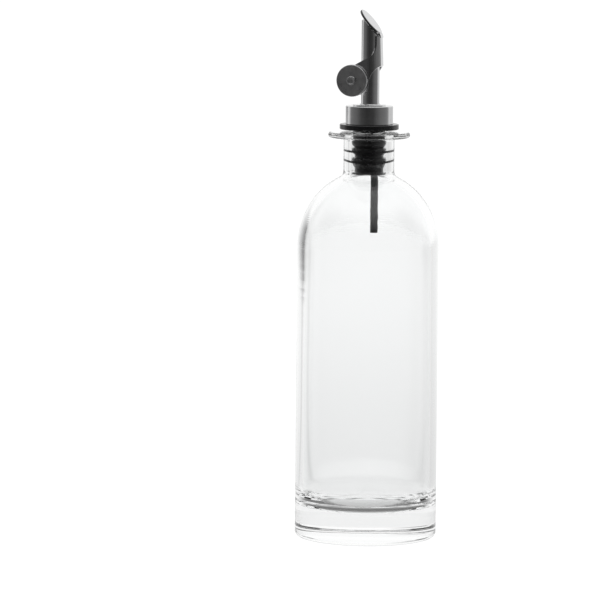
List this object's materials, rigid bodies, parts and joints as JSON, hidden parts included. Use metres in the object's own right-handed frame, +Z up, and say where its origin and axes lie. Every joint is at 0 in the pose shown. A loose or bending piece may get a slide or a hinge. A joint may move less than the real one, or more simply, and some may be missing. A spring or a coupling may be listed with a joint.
{
  "type": "oil and vinegar bottle",
  "caption": "Empty round clear glass bottle with a wide lip, closed by a finned rubber stopper that carries a steel collar, a slanted spout tube and a weighted flap that opens by gravity.",
  "frame": {"origin": "centre of the bottle's base, at the height of the surface it stands on", "axes": "+Z up the bottle; the flap lever turns about a line along Y, its weights hang at -X and its back strip stands at +X, so that it pours towards -X"},
  "size_m": [0.0724, 0.0724, 0.27],
  "materials": {
    "clear_glass": "clear, smooth and glossy",
    "black_rubber": "matt",
    "polished_steel": "polished, mirror-like",
    "satin_steel": "satin, fine turned lines",
    "dark_plastic": "dark grey, slightly glossy"
  },
  "bodies": {
    "bottle_body": {"bottle": "clear_glass", "stopper": "black_rubber", "collar": "polished_steel", "spout_tube": "polished_steel", "air_tube": "dark_plastic"},
    "lever_body": {"flap_lever": "polished_steel", "weight_near": "satin_steel", "weight_far": "satin_steel", "weight_rivet": "satin_steel"}
  },
  "joints": [
    {"name": "flap_hinge", "type": "hinge", "parent": "bottle_body", "child": "lever_body", "pos_m": [-0.001, 0, 0.2384], "axis": [0, 1, 0], "range_deg": [0, 50]}
  ]
}
